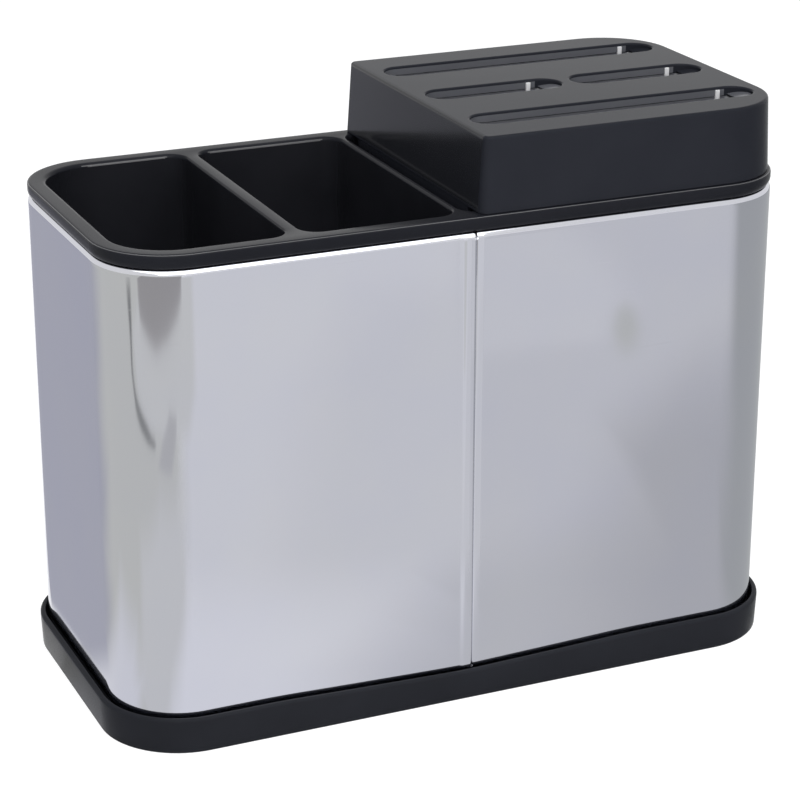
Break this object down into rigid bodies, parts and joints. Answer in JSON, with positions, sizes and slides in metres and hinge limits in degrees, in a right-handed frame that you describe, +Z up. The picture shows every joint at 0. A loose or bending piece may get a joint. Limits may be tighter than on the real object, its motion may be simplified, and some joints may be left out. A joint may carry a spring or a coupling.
{
  "type": "knife and utensil holder",
  "caption": "Free-standing caddy of polished sheet steel with open utensil cups beside a raised, slotted knife block, standing in a low drip tray.",
  "frame": {"origin": "middle of the underside, on the table", "axes": "+X along the length towards the knife block, +Y from the seamed front to the back, +Z up"},
  "size_m": [0.2664, 0.1324, 0.2105],
  "materials": {
    "steel": "polished sheet",
    "tray_plastic": "satin moulded black",
    "rim_plastic": "satin moulded black",
    "cup_plastic": "satin moulded black",
    "block_plastic": "satin moulded black",
    "sleeve_plastic": "gloss black",
    "foot_rubber": "matt black",
    "screw_steel": "zinc plated"
  },
  "bodies": {
    "tray": {"base_tray": "tray_plastic", "foot_front_left": "foot_rubber", "foot_front_right": "foot_rubber", "foot_back_left": "foot_rubber", "foot_back_right": "foot_rubber"},
    "caddy": {"bottom_frame": "tray_plastic", "steel_wrap": "steel", "top_rim": "rim_plastic", "utensil_cup_left": "cup_plastic", "utensil_cup_middle": "cup_plastic", "knife_well": "cup_plastic", "frame_screw_1": "screw_steel", "frame_screw_2": "screw_steel", "frame_screw_3": "screw_steel", "frame_screw_4": "screw_steel", "frame_screw_5": "screw_steel", "frame_screw_6": "screw_steel"},
    "knife_block": {"block_cap": "block_plastic", "guide_plate": "block_plastic", "blade_sleeve_back": "sleeve_plastic", "blade_sleeve_front": "sleeve_plastic", "blade_sleeve_middle_left": "sleeve_plastic", "blade_sleeve_middle_right": "sleeve_plastic", "block_screw_1": "screw_steel", "block_screw_2": "screw_steel", "block_screw_3": "screw_steel", "block_screw_4": "screw_steel"}
  },
  "joints": [
    {"name": "caddy_lift", "type": "slide", "parent": "tray", "child": "caddy", "axis": [0, 0, 1], "range_m": [0, 0.06]},
    {"name": "block_lift", "type": "slide", "parent": "caddy", "child": "knife_block", "axis": [0, 0, 1], "range_m": [0, 0.08]}
  ]
}
